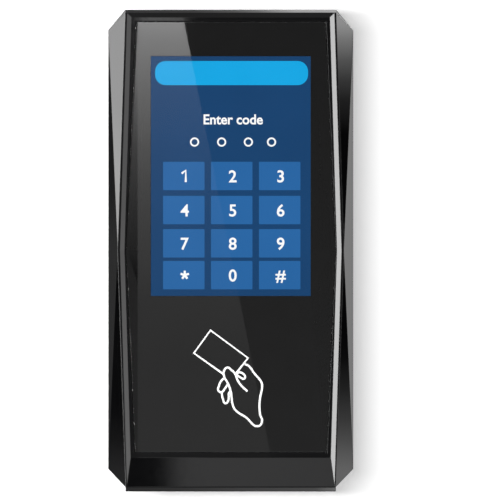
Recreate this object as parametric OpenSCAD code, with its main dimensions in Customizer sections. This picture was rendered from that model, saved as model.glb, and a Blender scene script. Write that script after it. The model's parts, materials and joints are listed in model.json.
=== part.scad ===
/* [Body] */
// Overall width across the side edges
body_w = 75.2; // [75:0.2:76]
// Overall height, bottom lip included
body_h = 147.7; // [147:0.1:149]
// Distance from the wall to the front crest
body_d = 24.2; // [24.2:0.1:25]
// How far the side facets fall back from the crest
facet_drop = 5; // [4:0.25:6]
// Depth of the dished front below the crest
dish_drop = 1.2; // [1.1:0.05:1.3]

/* [Display] */
// Width of the lit area of the 3.5 inch display
screen_w = 48.96; // [48:0.01:50]
// Height of the lit area of the display
screen_h = 73.44; // [72:0.01:75]
// Height of the display's centre above the body's centre
screen_z = 22.75; // [22:0.25:23]
// Thickness of the cover glass
glass_t = 1.5; // [1.3:0.1:1.6]

/* [Wall plate] */
// Sheet thickness of the wall plate
plate_t = 1.6; // [1.2:0.1:1.6]
// Radius of the wall screw holes
wall_hole_r = 2.1; // [1.8:0.1:2.3]
// Sideways and upright distance between the four corner holes
corner_holes = [48, 100]; // [48:100]
// Upright distance between the two single-gang box holes
gang_box_pitch = 83.3; // [83.3]
// Sideways distance between the two round wall box holes
round_box_pitch = 60; // [60]
// Width and height of the cable opening
cable_window = [40, 30]; // [36:40]

/* [Electronics] */
// Number of ways in the terminal block
ways = 8; // [6:1:8]
// Distance between two ways
way_pitch = 3.5; // [3.5]
// Turns of the antenna coil
coil_turns = 7; // [4:1:9]

/* [Motion] */
// Travel of the tamper plunger
tamper_travel = 2; // [1:0.25:2]
// Travel of the lock screw from backed off to locked
lock_travel = 3; // [2:0.5:3]

/* [Hidden] */
$fn = 48;

// Every depth below is measured from the wall towards the front.
// Front frame and housing
half_w = body_w / 2;
top_z = body_h / 2;
lip_h = 0.95;
low_z = -body_h / 2 + lip_h;
shoulder_top = 67.6;
shoulder_low = -67.1;
corner_x_top = 32.4;
corner_x_low = 32.2;
edge_d = body_d - facet_drop;
seam_d = 16;
wall_t = 2.2;
inset = 0.6;
rim_d = 1;
rim_chamfer = 1.5;
back_d = 4.8;
back_t = 2;
back_in = back_d + back_t;

// Crest line and dished front, right half from top to bottom
crest = [[32.25, 72.75], [half_w - 3, 0], [32.1, -72.45]];
dish_rim = [[31.75, 72.65], [half_w - 3.65, 0], [31.8, -72.35]];
dish_run = 1.45;
function rim_at(end, z) = dish_rim[1].x + (dish_rim[end].x - dish_rim[1].x) * z / dish_rim[end].y;
dish_floor = [
  [rim_at(0, 71.4) - dish_run, 71.4],
  [dish_rim[1].x - dish_run, 0],
  [rim_at(2, -63.45) - dish_run, -63.45]
];
dish_mouth = [for (k = [0:2]) dish_rim[k] + (dish_rim[k] - dish_floor[k]) / dish_drop];
glass_half = [[29, 69.9], [half_w - 5.6, 0], [29.3, -61.8]];
ledge_d = body_d - dish_drop;
glass_proud = 0.2;
glass_d = ledge_d + glass_proud;
glass_gap = 0.25;
mask_t = 0.1;
adhesive_t = 0.2;
shelf_d = glass_d - glass_t - mask_t - adhesive_t;
shelf_t = 1.6;
floor_d = shelf_d - shelf_t;

// Display stack
module_w = 55.2;
module_h = 84.6;
module_z = 20.05;
window_w = 56.2;
window_h = 85.6;
touch_d = [shelf_d - 0.25, glass_d - glass_t - mask_t];
cell_d = [19.6, 21];
tray_d = [17.4, 20.6];
tray_t = 0.4;

// Boards
board_w = 53;
board_h = 112;
board_d = [13.6, 15.2];
board_hole = [23.5, 51.5];
ant_w = 50;
ant_h = 32;
ant_z = -42.5;
ant_d = [18.9, 19.7];
ant_stake_x = 22;
ant_pin = [6, -50];
coil_w = 0.9;
coil_pitch = 1.6;

// Fasteners
case_screw = [31.3, 62.5];
post_r = 4.2;
boss_r = 3.2;
boss_gap_d = [12, 12.2];
head_seat_d = 8;
insert_r = 2.1;
insert_end_d = 17;

// Hooks and lock
hook_x = 18;
hook_w = 12;
hook_z = 67;
hook_lip_d = 4;
pivot_d = 3.2;
pivot_z = 67.6;
pivot_r = 0.52;
plate_half_w = 33.5;
plate_top = 65.4;
plate_low = -63;
tab_z = -66.1;
lock_d = 4.6;
lock_r = 1.5;
lock_head_r = 2.4;
lock_head_h = 1.6;

// Terminals, tamper and reset
term_z = -22;
term_hw = ways * way_pitch / 2 + 0.4;
pin_z = -24.6;
entry_z = -20.4;
tamper = [-12, -46];
tamper_r = 1.5;
collar_d = [9.3, 10.1];
collar_r = 2.4;
chamber_d = [9.1, collar_d[1] + 1 + tamper_travel];
reset = [16, -46];
coin = [-12, 46];
beeper = [14, 46];
running = 0.07;

// Right half of the outer outline, moved inwards by i and kept parallel to itself
turn_top = atan2(top_z - shoulder_top, half_w - corner_x_top);
turn_low = atan2(shoulder_low - low_z, half_w - corner_x_low);
function outline_half(i) = [
  [corner_x_top - i * tan(turn_top / 2), top_z - i],
  [half_w - i, shoulder_top - i * tan((90 - turn_top) / 2)],
  [half_w - i, shoulder_low + i * tan((90 - turn_low) / 2)],
  [corner_x_low - i * tan(turn_low / 2), low_z + i]
];

// Both halves of an outline that is given by its right half
function both(half) = concat(half, [for (k = [len(half) - 1:-1:0]) [-half[k].x, half[k].y]]);

// A half outline moved inwards by i at the sides and by i at its ends
function inset_half(half, i) = [
  for (k = [0:len(half) - 1])
    [half[k].x - i, half[k].y - (k == 0 ? i : k == len(half) - 1 ? -i : 0)]
];

// The outline's points at one depth
function ring(pts, d) = [for (p = pts) [p.x, -d, p.y]];

// A flat outline in width and height, made solid between two depths
module slab(d0, d1) {
  translate([0, -d0, 0]) rotate([90, 0, 0]) linear_extrude(d1 - d0) children();
}

// A child whose own Z axis points to the front, set down at one place
module facing(x, d, z) {
  translate([x, -d, z]) rotate([90, 0, 0]) children();
}

// A profile drawn in depth and height, made solid across the width
module across(w) {
  translate([-w / 2, 0, 0]) rotate([90, 0, 90]) linear_extrude(w) mirror([1, 0]) children();
}

// A box given by its middle in width and height and by its two depths
module block(x, z, w, h, d0, d1) {
  translate([x - w / 2, -d1, z - h / 2]) cube([w, d1 - d0, h]);
}

module rounded(w, h, r) {
  for (s = [0, 1]) {
    square([w - 2 * r * s, h - 2 * r * (1 - s)], center = true);
  }
  for (x = [-1, 1], y = [-1, 1]) {
    translate([x * (w / 2 - r), y * (h / 2 - r)]) circle(r);
  }
}

// A solid between two outlines with the same number of points
module loft(a, d0, b, d1) {
  n = len(a);
  polyhedron(
    points = concat(ring(a, d0), ring(b, d1)),
    faces = concat(
      [[for (k = [n - 1:-1:0]) k]],
      [[for (k = [0:n - 1]) n + k]],
      [for (k = [0:n - 1]) [k, (k + 1) % n, n + (k + 1) % n, n + k]]
    )
  );
}

// A screw whose head stands below Z = 0 and whose shank stands above it
module screw(head_r, head_h, shank_r, shank_l) {
  difference() {
    union() {
      translate([0, 0, -head_h]) cylinder(r = head_r, h = head_h);
      cylinder(r = shank_r, h = shank_l);
    }
    translate([0, 0, -head_h]) {
      cube([head_r * 1.3, head_r * 0.3, head_h * 1.1], center = true);
      cube([head_r * 0.3, head_r * 1.3, head_h * 1.1], center = true);
    }
  }
}

// The frame's folded outside: three flat triangles down each side, from the seam to the crest
module facet_body() {
  side = both(outline_half(0));
  points = concat(ring(both(crest), body_d), ring(side, edge_d), ring(side, seam_d));
  // Point numbers: crest 0-5, side edge 6-13, seam 14-21, each clockwise from the upper right
  right = [[0, 7, 1], [1, 7, 8], [1, 8, 2], [0, 6, 7], [2, 8, 9]];
  left = [[5, 4, 12], [4, 11, 12], [4, 3, 11], [5, 12, 13], [3, 10, 11]];
  ends = [[13, 6, 0, 5], [9, 10, 3, 2]];
  walls = [for (k = [0:7]) [14 + k, 14 + (k + 1) % 8, 6 + (k + 1) % 8, 6 + k]];
  front = [[0, 1, 2, 3, 4, 5]];
  back = [[21, 20, 19, 18, 17, 16, 15, 14]];
  polyhedron(points = points, faces = concat(right, left, ends, walls, front, back));
}

module wall_plate() {
  color("lightsteelblue") difference() {
    union() {
      slab(0, plate_t) polygon(both([
        [plate_half_w - 6, plate_top], [plate_half_w, plate_top - 6],
        [plate_half_w, plate_low + 6], [plate_half_w - 6, plate_low]
      ]));
      // Hooks folded forward and up
      for (s = [-1, 1]) {
        block(s * hook_x, hook_z - plate_t / 2 - 0.8, hook_w, plate_t + 1.6, 0, plate_t);
        block(s * hook_x, hook_z - plate_t / 2, hook_w, plate_t, 0, hook_lip_d + plate_t);
        block(s * hook_x, hook_z + 0.5, hook_w, plate_t + 3.6, hook_lip_d, hook_lip_d + plate_t);
      }
      // Lock tab folded forward at the bottom
      block(0, (plate_low + 1 + tab_z) / 2, 10, plate_low + 1 - tab_z, 0, plate_t);
      block(0, tab_z + plate_t / 2, 10, plate_t, 0, 7.4);
    }
    for (x = [-1, 1], z = [-1, 1]) {
      facing(x * corner_holes.x / 2, -1, z * corner_holes.y / 2) cylinder(r = wall_hole_r, h = 4);
    }
    for (s = [-1, 1]) {
      facing(0, -1, s * gang_box_pitch / 2) cylinder(r = wall_hole_r, h = 4);
      facing(s * round_box_pitch / 2, -1, 0) cylinder(r = wall_hole_r, h = 4);
    }
    slab(-1, 3) translate([0, term_z]) rounded(cable_window.x, cable_window.y, 3);
    facing(tamper.x, -1, tamper.y) cylinder(r = 4, h = 4);
    translate([0, -lock_d, tab_z - 1]) cylinder(r = lock_r + running, h = 4);
  }
}

module rear_housing() {
  inner = wall_t + inset;
  color("dimgray") difference() {
    union() {
      difference() {
        union() {
          slab(rim_d + rim_chamfer, seam_d) polygon(both(outline_half(inset)));
          loft(
            both(outline_half(inset + rim_chamfer)), rim_d,
            both(outline_half(inset)), rim_d + rim_chamfer
          );
        }
        slab(back_in, seam_d + 1) polygon(both(outline_half(inner)));
        slab(rim_d - 1, back_d) polygon(both(outline_half(inner)));
      }
      for (x = [-1, 1]) {
        // Case screw posts, merged into the side walls
        for (z = [-1, 1]) {
          facing(x * case_screw.x, back_d, z * case_screw.y) cylinder(r = post_r, h = boss_gap_d[0] - back_d);
        }
        // Board standoffs
        for (z = [-1, 1]) {
          facing(x * board_hole.x, back_in - 0.5, z * board_hole.y)
            cylinder(r = 3, h = board_d[0] - back_in + 0.5);
        }
        // Hanging lugs with a round tip on the tilt axis
        block(x * hook_x, (pivot_z + top_z - 2.5) / 2, hook_w - 2, top_z - 2.5 - pivot_z, pivot_d - 0.5, pivot_d + 0.5);
        translate([x * hook_x - (hook_w - 2) / 2, -pivot_d, pivot_z]) rotate([0, 90, 0])
          cylinder(r = pivot_r, h = hook_w - 2);
      }
    }
    for (x = [-1, 1], z = [-1, 1]) {
      facing(x * case_screw.x, back_d - 1, z * case_screw.y) cylinder(r = 3, h = head_seat_d - back_d + 1);
      facing(x * case_screw.x, back_d, z * case_screw.y) cylinder(r = 1.7, h = 10);
      facing(x * board_hole.x, back_in, z * board_hole.y) cylinder(r = 1, h = 10);
    }
    // Windows for the hooks and the lock tab
    for (x = [-1, 1]) {
      block(x * hook_x, 67.2, hook_w + 4, 6.6, back_d - 0.5, back_in + 0.5);
    }
    block(0, (low_z + inner - 63.3) / 2, 12, -63.3 - low_z - inner, back_d - 0.5, back_in + 0.5);
    // Lock screw hole in the bottom wall
    translate([0, -lock_d, low_z - 1]) cylinder(r = lock_head_r + 0.2, h = 20);
    // Terminal window, tamper and reset holes, buzzer holes
    block(0, term_z, 2 * term_hw + 1.2, 11.2, back_d - 0.5, back_in + 0.5);
    facing(tamper.x, back_d - 1, tamper.y) cylinder(r = tamper_r + running, h = 4);
    facing(reset.x, back_d - 1, reset.y) cylinder(r = 1, h = 4);
    for (x = [-2, 0, 2], z = [-2, 0, 2]) {
      facing(beeper.x + x, back_d - 1, beeper.y + z) cylinder(r = 0.6, h = 4);
    }
    // Groove for the gasket
    slab(seam_d - 1, seam_d + 1) difference() {
      polygon(both(outline_half(1.2)));
      polygon(both(outline_half(2.3)));
    }
  }
  // Sleeve that keeps the lock screw captive
  color("dimgray") lock_sleeve();
}

// Block round the lock screw, with a deep seat for its head and a narrow throat
module lock_sleeve() {
  seat_top = low_z + inset + 0.1 + lock_head_h + lock_travel + 0.1;
  base = low_z + inset;
  difference() {
    block(0, (base + seat_top + 0.8) / 2, 8.4, seat_top + 0.8 - base, 1.4, 8.8);
    translate([0, -lock_d, base - 1]) cylinder(r = lock_head_r + 0.2, h = seat_top - base + 1);
    translate([0, -lock_d, base]) cylinder(r = lock_r + running, h = 12);
  }
}

module front_frame() {
  win_z = module_z;
  color([0.05, 0.05, 0.055]) difference() {
    union() {
      difference() {
        union() {
          facet_body();
          block(0, low_z - lip_h / 2 + 0.5, 2 * corner_x_low, lip_h + 1, seam_d, body_d - 1);
        }
        slab(seam_d - 1, floor_d) polygon(both(outline_half(wall_t + 0.2)));
      }
      for (x = [-1, 1], z = [-1, 1]) {
        facing(x * case_screw.x, boss_gap_d[1], z * case_screw.y)
          cylinder(r = boss_r, h = floor_d - boss_gap_d[1] + 0.5);
      }
      for (s = [-1, 1]) {
        facing(s * ant_stake_x, ant_d[0] - 1, ant_z) cylinder(r = 1, h = floor_d - ant_d[0] + 1.5);
      }
    }
    // Dished front
    loft(both(dish_floor), ledge_d, both(dish_mouth), body_d + 1);
    // Recess for the glass and window for the display
    slab(shelf_d, body_d) polygon(both(inset_half(glass_half, -glass_gap)));
    slab(floor_d - 1, body_d) translate([0, win_z]) rounded(window_w, window_h, 1);
    for (x = [-1, 1], z = [-1, 1]) {
      facing(x * case_screw.x, boss_gap_d[1] - 1, z * case_screw.y)
        cylinder(r = insert_r, h = insert_end_d + 0.6 - boss_gap_d[1] + 1);
    }
  }
}

module perimeter_gasket() {
  color("darkslategray") slab(seam_d - 0.95, seam_d) difference() {
    polygon(both(outline_half(1.25)));
    polygon(both(outline_half(2.25)));
  }
}

module cover_glass() {
  color([0.1, 0.1, 0.12, 0.5]) slab(glass_d - glass_t, glass_d) polygon(both(glass_half));
}

module glass_mask() {
  color([0.02, 0.02, 0.02]) slab(glass_d - glass_t - mask_t, glass_d - glass_t) difference() {
    polygon(both(inset_half(glass_half, 0.1)));
    translate([0, screen_z]) square([screen_w + 0.2, screen_h + 0.2], center = true);
  }
}

module glass_adhesive() {
  color("gray") slab(shelf_d, shelf_d + adhesive_t) difference() {
    polygon(both(inset_half(glass_half, 0.3)));
    translate([0, module_z]) rounded(window_w + 0.5, window_h + 0.5, 1);
  }
}

module touch_sensor() {
  color([0.6, 0.7, 0.8, 0.4]) slab(touch_d[0], touch_d[1])
    translate([0, module_z]) square([module_w, module_h], center = true);
}

// Touch tail: down beside the display, then folded under it to its connector
module touch_flex() {
  side_x = module_w / 2 + 0.15;
  color("darkorange") {
    difference() {
      block(side_x - 1.2, 34, 2.8, 8, 16.1, touch_d[0] + 0.2);
      block(side_x - 1.4, 34, 2.8, 9, 16.3, touch_d[0] + 1);
    }
  }
}

module lcd_panel() {
  color([0.1, 0.25, 0.45]) slab(cell_d[0], cell_d[1])
    translate([0, module_z]) square([module_w - 2 * tray_t - 0.2, module_h - 2 * tray_t - 0.2], center = true);
}

module lcd_backlight() {
  color("white") slab(tray_d[0] + tray_t, cell_d[0])
    translate([0, module_z]) square([module_w - 2 * tray_t - 0.2, module_h - 2 * tray_t - 0.2], center = true);
}

module lcd_tray() {
  color("silver") difference() {
    block(0, module_z, module_w, module_h, tray_d[0], tray_d[1]);
    block(0, module_z, module_w - 2 * tray_t, module_h - 2 * tray_t, tray_d[0] + tray_t, tray_d[1] + 1);
  }
}

// Display tail: leaves the tray's lower edge, turns round it and runs up to its connector
module lcd_flex() {
  t = 0.2;
  bend_r = 1.3;
  start_z = module_z - module_h / 2;
  mid_d = 18.4;
  color("darkorange") across(24) {
    intersection() {
      translate([mid_d, start_z - 0.05]) difference() {
        circle(bend_r);
        circle(bend_r - t);
      }
      translate([mid_d - 3, start_z - 3.05]) square([6, 3]);
    }
    translate([mid_d - bend_r, start_z - 0.05]) square([t, 3.2]);
  }
}

module lcd_pads() {
  color("dimgray") for (s = [-1, 1]) {
    block(s * 14, 20, 8, 36, board_d[1], tray_d[0]);
  }
}

module antenna_board() {
  color("darkgreen") difference() {
    slab(ant_d[0], ant_d[1]) translate([0, ant_z]) rounded(ant_w, ant_h, 1.5);
    for (s = [-1, 1]) {
      facing(s * ant_stake_x, ant_d[0] - 1, ant_z) cylinder(r = 1.15, h = 3);
    }
  }
}

// Flat square spiral on the antenna board
module antenna_coil() {
  hw = ant_w / 2 - 5.2;
  hh = ant_h / 2 - 1.6;
  color("orange") slab(ant_d[1], floor_d) translate([0, ant_z]) for (k = [0:coil_turns - 1]) {
    x0 = hw - k * coil_pitch;
    z0 = hh - k * coil_pitch;
    lead = k == 0 ? 0 : coil_pitch;
    translate([-x0 - lead, z0 - coil_w]) square([2 * x0 + lead, coil_w]);
    translate([x0 - coil_w, -z0]) square([coil_w, 2 * z0]);
    translate([-x0, -z0]) square([2 * x0, coil_w]);
    translate([-x0, -z0]) square([coil_w, 2 * z0 - coil_pitch]);
  }
}

module antenna_ferrite() {
  color("black") difference() {
    block(0, ant_z, ant_w - 10, ant_h - 2, ant_d[0] - 0.5, ant_d[0]);
    for (s = [-1, 1]) {
      facing(s * ant_pin.x, ant_d[0] - 1, ant_pin.y) cylinder(r = 1.6, h = 3);
    }
  }
}

// Sprung contact pins that join the antenna to the main board
module antenna_pins() {
  color("gold") for (s = [-1, 1]) {
    facing(s * ant_pin.x, board_d[1], ant_pin.y) {
      cylinder(r = 1.2, h = 1.8);
      cylinder(r = 0.6, h = ant_d[0] - board_d[1]);
    }
  }
}

module main_board() {
  color("green") difference() {
    slab(board_d[0], board_d[1]) rounded(board_w, board_h, 2);
    for (x = [-1, 1], z = [-1, 1]) {
      facing(x * board_hole.x, board_d[0] - 1, z * board_hole.y) cylinder(r = 1.6, h = 4);
    }
  }
}

module board_screws() {
  color("silver") for (x = [-1, 1], z = [-1, 1]) {
    translate([x * board_hole.x, -board_d[1], z * board_hole.y]) rotate([-90, 0, 0])
      screw(2.2, 1.5, 0.95, 6);
  }
}

module flex_connectors() {
  color("ivory") {
    block(0, -16.6, 27, 3.6, board_d[1], 16.5);
    block(0, -18.7, 25, 0.8, board_d[1], 16.2);
    block(24, 34, 3.8, 9.6, board_d[1], 16.1);
  }
}

module shield_can() {
  color("silver") difference() {
    block(0, 25, 27, 25, board_d[0] - 2.8, board_d[0]);
    block(0, 25, 26.4, 24.4, board_d[0] - 2.5, board_d[0] + 1);
    for (x = [-1.5:1:1.5], z = [-1.5:1:1.5]) {
      facing(x * 4.5, board_d[0] - 4, 25 + z * 4.5) cylinder(r = 0.6, h = 2);
    }
  }
}

// A flat chip with a row of legs down two sides
module chip(x, z, w, h, t, legs) {
  block(x, z, w, h, board_d[0] - t, board_d[0] - 0.1);
  for (s = [-1, 1], k = [0:legs - 1]) {
    block(x + s * (w / 2 + 0.3), z + (k - (legs - 1) / 2) * 0.9 * h / legs, 0.8, 0.35, board_d[0] - 0.4, board_d[0]);
  }
}

module processor() {
  color([0.12, 0.12, 0.12]) chip(-5, 25, 11, 14, 1.5, 12);
}

module memory_chips() {
  color([0.15, 0.15, 0.15]) for (z = [20, 30]) {
    chip(7, z, 6, 7, 1.1, 5);
  }
}

module reader_chip() {
  color([0.15, 0.15, 0.15]) chip(2, -46, 6, 6, 1, 6);
}

// Small resistors and capacitors beside the larger pieces
module board_passives() {
  color("tan") {
    for (x = [-22, -18], z = [-8:-4:-32]) {
      block(x, z, 2, 1.2, board_d[0] - 0.7, board_d[0]);
    }
    for (x = [18, 22], z = [-12:-4:-32]) {
      block(x, z, 1.2, 2, board_d[0] - 0.6, board_d[0]);
    }
    for (x = [-21:3.5:21]) {
      block(x, 38.2, 1.8, 0.9, board_d[0] - 0.6, board_d[0]);
    }
    for (x = [19, 22], z = [14:3.5:32]) {
      block(x, z, 1, 2, board_d[0] - 0.6, board_d[0]);
    }
  }
}

module power_inductor() {
  color([0.25, 0.25, 0.27]) {
    slab(board_d[0] - 3, board_d[0]) translate([3, 3]) rounded(7.4, 7.4, 1.2);
  }
}

module power_capacitors() {
  color("silver") for (z = [-4.5, 4.5]) {
    facing(17, board_d[0] - 5.8, z) cylinder(r = 3.15, h = 5);
    block(17, z, 6.8, 6.8, board_d[0] - 0.8, board_d[0]);
  }
}

module lock_relay() {
  color("darkslateblue") {
    slab(board_d[0] - 5.6, board_d[0]) translate([-14, 1]) rounded(9.6, 15, 0.6);
  }
}

module buzzer() {
  color([0.1, 0.1, 0.1]) difference() {
    facing(beeper.x, board_d[0] - 5.4, beeper.y) cylinder(r = 5.6, h = 5.4);
    facing(beeper.x, board_d[0] - 6, beeper.y) cylinder(r = 1, h = 2);
  }
}

module coin_cell() {
  color("silver") facing(coin.x, board_d[0] - 3.2, coin.y) cylinder(r = 6.2, h = 2);
}

module coin_cell_holder() {
  color([0.2, 0.2, 0.2]) difference() {
    slab(board_d[0] - 3, board_d[0]) translate(coin) rounded(15.4, 14, 1);
    facing(coin.x, board_d[0] - 4, coin.y) cylinder(r = 6.3, h = 2.8);
  }
}

module terminal_header() {
  color("seagreen") block(0, term_z, 2 * term_hw, 9.4, 11.3, board_d[0]);
  color("gold") for (k = [0:ways - 1]) {
    facing((k - (ways - 1) / 2) * way_pitch, 5.6, pin_z) cylinder(r = 0.5, h = 6);
  }
}

module terminal_plug() {
  color("limegreen") difference() {
    block(0, term_z, 2 * term_hw, 10, 3.6, 11);
    for (k = [0:ways - 1]) {
      x = (k - (ways - 1) / 2) * way_pitch;
      facing(x, 5.2, pin_z) cylinder(r = 0.5 + running, h = 7);
      facing(x, 3, entry_z) cylinder(r = 1.2, h = 5.4);
      translate([x, -6, entry_z + 1.4]) cylinder(r = 1.2, h = 5);
    }
  }
}

module terminal_screws() {
  color("silver") for (k = [0:ways - 1]) {
    x = (k - (ways - 1) / 2) * way_pitch;
    translate([x, -6, term_z + 4.8]) mirror([0, 0, 1]) difference() {
      cylinder(r = 1.1, h = 1.6);
      cube([2.4, 0.4, 1], center = true);
    }
  }
}

module tamper_switch() {
  color([0.1, 0.1, 0.1]) difference() {
    block(tamper.x, tamper.y, 8, 8, 8.3, board_d[0]);
    facing(tamper.x, 8, tamper.y) cylinder(r = tamper_r + running, h = 2);
    facing(tamper.x, chamber_d[0], tamper.y) cylinder(r = 2.7, h = chamber_d[1] - chamber_d[0]);
  }
}

module tamper_plunger() {
  color("ivory") {
    facing(tamper.x, 0.3, tamper.y) cylinder(r = tamper_r, h = collar_d[1] - 0.3);
    facing(tamper.x, collar_d[0], tamper.y) cylinder(r = collar_r, h = collar_d[1] - collar_d[0]);
  }
}

// Cone spring between the plunger's collar and the end of the switch's chamber; it can close up flat
module tamper_spring() {
  turns = 3;
  steps = 12;
  wire_r = 0.2;
  wide_r = 2.15;
  narrow_r = 0.75;
  low = collar_d[1] + 0.05;
  high = chamber_d[1] - 0.05;
  n = turns * steps;
  sides = 6;
  points = [
    for (i = [0:n], j = [0:sides - 1])
      let (turn = 360 * i / steps, bead = 360 * j / sides)
        let (r = wide_r + (narrow_r - wide_r) * i / n + wire_r * cos(bead))
        [r * cos(turn), r * sin(turn), wire_r + (high - low - 2 * wire_r) * i / n + wire_r * sin(bead)]
  ];
  faces = concat(
    [[for (j = [0:sides - 1]) j]],
    [[for (j = [0:sides - 1]) n * sides + sides - 1 - j]],
    [
      for (i = [0:n - 1], j = [0:sides - 1])
        let (a = i * sides + j, b = i * sides + (j + 1) % sides) [a, a + sides, b + sides, b]
    ]
  );
  color("silver") facing(tamper.x, low, tamper.y) polyhedron(points = points, faces = faces);
}

module reset_switch() {
  color([0.15, 0.15, 0.15]) difference() {
    block(reset.x, reset.y, 6, 6, 10.6, board_d[0]);
    facing(reset.x, 10, reset.y) cylinder(r = 1.7 + running, h = 2.2);
  }
}

module reset_button() {
  color("ivory") facing(reset.x, 9.2, reset.y) cylinder(r = 1.7, h = 2.4);
}

module lock_screw() {
  head_top = low_z + inset + 0.1 + lock_head_h;
  color("silver") translate([0, -lock_d, head_top]) screw(lock_head_r, lock_head_h, lock_r, 3.8);
}

module case_inserts() {
  color("goldenrod") for (x = [-1, 1], z = [-1, 1]) {
    facing(x * case_screw.x, boss_gap_d[1], z * case_screw.y) difference() {
      cylinder(r = insert_r, h = insert_end_d - boss_gap_d[1]);
      translate([0, 0, -1]) cylinder(r = 1.5, h = 8);
    }
  }
}

module case_screws() {
  color("silver") for (x = [-1, 1], z = [-1, 1]) {
    facing(x * case_screw.x, head_seat_d, z * case_screw.y) screw(2.75, 2, 1.45, 8.5);
  }
}

wall_plate();
rear_housing();
front_frame();
perimeter_gasket();
cover_glass();
glass_mask();
glass_adhesive();
touch_sensor();
touch_flex();
lcd_panel();
lcd_backlight();
lcd_tray();
lcd_flex();
lcd_pads();
antenna_board();
antenna_coil();
antenna_ferrite();
antenna_pins();
main_board();
board_screws();
flex_connectors();
shield_can();
processor();
memory_chips();
reader_chip();
board_passives();
power_inductor();
power_capacitors();
lock_relay();
buzzer();
coin_cell();
coin_cell_holder();
terminal_header();
terminal_plug();
terminal_screws();
tamper_switch();
tamper_plunger();
tamper_spring();
reset_switch();
reset_button();
lock_screw();
case_inserts();
case_screws();
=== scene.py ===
import json
import math

import bpy
from mathutils import Matrix, Vector


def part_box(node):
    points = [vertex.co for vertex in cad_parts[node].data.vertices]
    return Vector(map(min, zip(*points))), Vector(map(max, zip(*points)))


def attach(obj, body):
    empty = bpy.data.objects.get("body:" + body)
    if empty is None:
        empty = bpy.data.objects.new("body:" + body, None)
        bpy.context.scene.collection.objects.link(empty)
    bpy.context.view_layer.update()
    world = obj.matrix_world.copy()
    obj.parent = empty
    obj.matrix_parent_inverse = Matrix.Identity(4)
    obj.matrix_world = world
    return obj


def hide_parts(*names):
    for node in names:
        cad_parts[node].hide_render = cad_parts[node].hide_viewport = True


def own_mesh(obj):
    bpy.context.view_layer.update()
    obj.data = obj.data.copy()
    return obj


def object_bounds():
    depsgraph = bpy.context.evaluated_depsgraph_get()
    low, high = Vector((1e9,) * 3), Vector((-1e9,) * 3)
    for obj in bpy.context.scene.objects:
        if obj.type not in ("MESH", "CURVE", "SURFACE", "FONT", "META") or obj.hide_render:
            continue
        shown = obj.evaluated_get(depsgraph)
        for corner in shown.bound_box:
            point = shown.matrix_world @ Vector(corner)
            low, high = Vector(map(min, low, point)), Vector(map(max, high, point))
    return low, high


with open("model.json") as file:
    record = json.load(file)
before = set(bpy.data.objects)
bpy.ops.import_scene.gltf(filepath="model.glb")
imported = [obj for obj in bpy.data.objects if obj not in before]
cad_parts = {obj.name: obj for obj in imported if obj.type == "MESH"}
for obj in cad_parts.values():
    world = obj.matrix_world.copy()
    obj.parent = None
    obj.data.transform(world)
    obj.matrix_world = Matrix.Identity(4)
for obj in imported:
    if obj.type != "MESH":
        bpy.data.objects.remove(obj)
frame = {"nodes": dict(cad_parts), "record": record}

MM = 0.001
CAD_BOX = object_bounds()
SCENE = bpy.context.scene
GLASS_LOW, GLASS_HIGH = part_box("cover_glass")
BODY_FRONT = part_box("front_frame")[0].y
CELL_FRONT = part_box("lcd_panel")[0].y

# Picture on the display, in millimetres
SCREEN_W, SCREEN_H, SCREEN_Z = 48.96, 73.44, 22.75
KEY_W, KEY_H, KEY_R = 12.7, 8.7, 0.25
KEY_COLUMNS = (-14.4, 0.3, 15.0)
KEY_ROWS = (22.8, 12.35, 2.15, -7.6)
KEY_MARKS = ("123", "456", "789", "*0#")
DIGIT_H, DIGIT_WEIGHT, DIGIT_SHIFT = 3.75, 0.09, 0.3
MARK_STROKE, STAR_ARMS, STAR_R = 0.68, 5, 1.35
ONE_STEM, ONE_FLAG_W, ONE_FLAG_H = 0.3, 1.25, 0.95
PROMPT, PROMPT_X, PROMPT_Z, PROMPT_H = "Enter code", 0.75, 38.7, 3.1
PROMPT_WEIGHT, PROMPT_SQUEEZE = 0.1, 0.97
RING_XS, RING_Z, RING_R, RING_STROKE = (-11.1, -2.8, 5.4, 12.5), 33.2, 1.15, 0.5
BANNER_X, BANNER_Z, BANNER_W, BANNER_H, BANNER_R = 0.25, 54.35, 46.9, 7.4, 3.2
SCREEN_R = 0.05
CAP_SHARE = 0.729  # how tall a capital is in the built-in lettering, of its size

# Printed and lit layers: how thick they are and how far apart, in millimetres
FILM, FILM_GAP = 0.02, 0.01

# Glass: its reflection, as a refractive index, and how much of it is left over the display.
# Both are chosen to match the photo's glare, and the index is higher than bare glass has
GLASS_IOR, FILM_REFLECTS = 2.26, 0.2

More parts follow.
